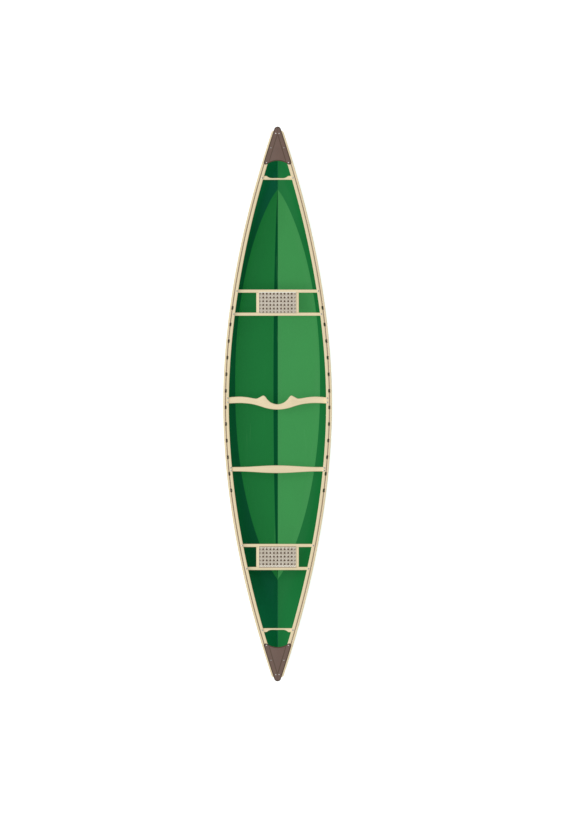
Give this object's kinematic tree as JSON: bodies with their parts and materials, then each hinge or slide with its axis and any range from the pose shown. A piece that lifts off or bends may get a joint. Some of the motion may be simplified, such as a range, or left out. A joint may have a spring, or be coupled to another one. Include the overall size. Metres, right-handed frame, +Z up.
{
  "type": "canoe",
  "caption": "Open tandem canoe with a moulded hull, wooden gunwales, carved yoke, thwart, caned seats, carry handles and end decks.",
  "frame": {"origin": "under the middle of the canoe, on the surface that the keel rests on", "axes": "+Y to the bow, +X to starboard, +Z up"},
  "size_m": [0.9606, 4.8766, 0.5586],
  "materials": {
    "hull_green": "satin moulded hull, lighter where it is scuffed on the bottom panel",
    "ash_wood": "oiled pale ash",
    "deck_plastic": "brown moulded plastic",
    "seat_cane": "woven cane",
    "seat_spline": "cane spline",
    "fastener_steel": "stainless steel"
  },
  "bodies": {
    "root": {"bow_carry_handle": "ash_wood", "bow_deck": "deck_plastic", "bow_deck_port_screw_1": "fastener_steel", "bow_deck_port_screw_2": "fastener_steel", "bow_deck_starboard_screw_1": "fastener_steel", "bow_deck_starboard_screw_2": "fastener_steel", "bow_handle_bolt_port": "fastener_steel", "bow_handle_bolt_starboard": "fastener_steel", "bow_seat_cane": "seat_cane", "bow_seat_front_bolt_port": "fastener_steel", "bow_seat_front_bolt_starboard": "fastener_steel", "bow_seat_front_rail": "ash_wood", "bow_seat_front_spacer_port": "ash_wood", "bow_seat_front_spacer_starboard": "ash_wood", "bow_seat_port_side_bar": "ash_wood", "bow_seat_rear_bolt_port": "fastener_steel", "bow_seat_rear_bolt_starboard": "fastener_steel", "bow_seat_rear_rail": "ash_wood", "bow_seat_rear_spacer_port": "ash_wood", "bow_seat_rear_spacer_starboard": "ash_wood", "bow_seat_spline": "seat_spline", "bow_seat_starboard_side_bar": "ash_wood", "hull_shell": "hull_green", "inwale_port": "ash_wood", "inwale_starboard": "ash_wood", "outwale_port": "ash_wood", "outwale_starboard": "ash_wood", "portage_yoke": "ash_wood", "rear_thwart": "ash_wood", "stern_carry_handle": "ash_wood", "stern_deck": "deck_plastic", "stern_deck_port_screw_1": "fastener_steel", "stern_deck_port_screw_2": "fastener_steel", "stern_deck_starboard_screw_1": "fastener_steel", "stern_deck_starboard_screw_2": "fastener_steel", "stern_handle_bolt_port": "fastener_steel", "stern_handle_bolt_starboard": "fastener_steel", "stern_seat_cane": "seat_cane", "stern_seat_front_bolt_port": "fastener_steel", "stern_seat_front_bolt_starboard": "fastener_steel", "stern_seat_front_rail": "ash_wood", "stern_seat_front_spacer_port": "ash_wood", "stern_seat_front_spacer_starboard": "ash_wood", "stern_seat_port_side_bar": "ash_wood", "stern_seat_rear_bolt_port": "fastener_steel", "stern_seat_rear_bolt_starboard": "fastener_steel", "stern_seat_rear_rail": "ash_wood", "stern_seat_rear_spacer_port": "ash_wood", "stern_seat_rear_spacer_starboard": "ash_wood", "stern_seat_spline": "seat_spline", "stern_seat_starboard_side_bar": "ash_wood", "thwart_bolt_1_port": "fastener_steel", "thwart_bolt_1_starboard": "fastener_steel", "thwart_bolt_2_port": "fastener_steel", "thwart_bolt_2_starboard": "fastener_steel", "yoke_bolt_1_port": "fastener_steel", "yoke_bolt_1_starboard": "fastener_steel", "yoke_bolt_2_port": "fastener_steel", "yoke_bolt_2_starboard": "fastener_steel"}
  },
  "joints": []
}
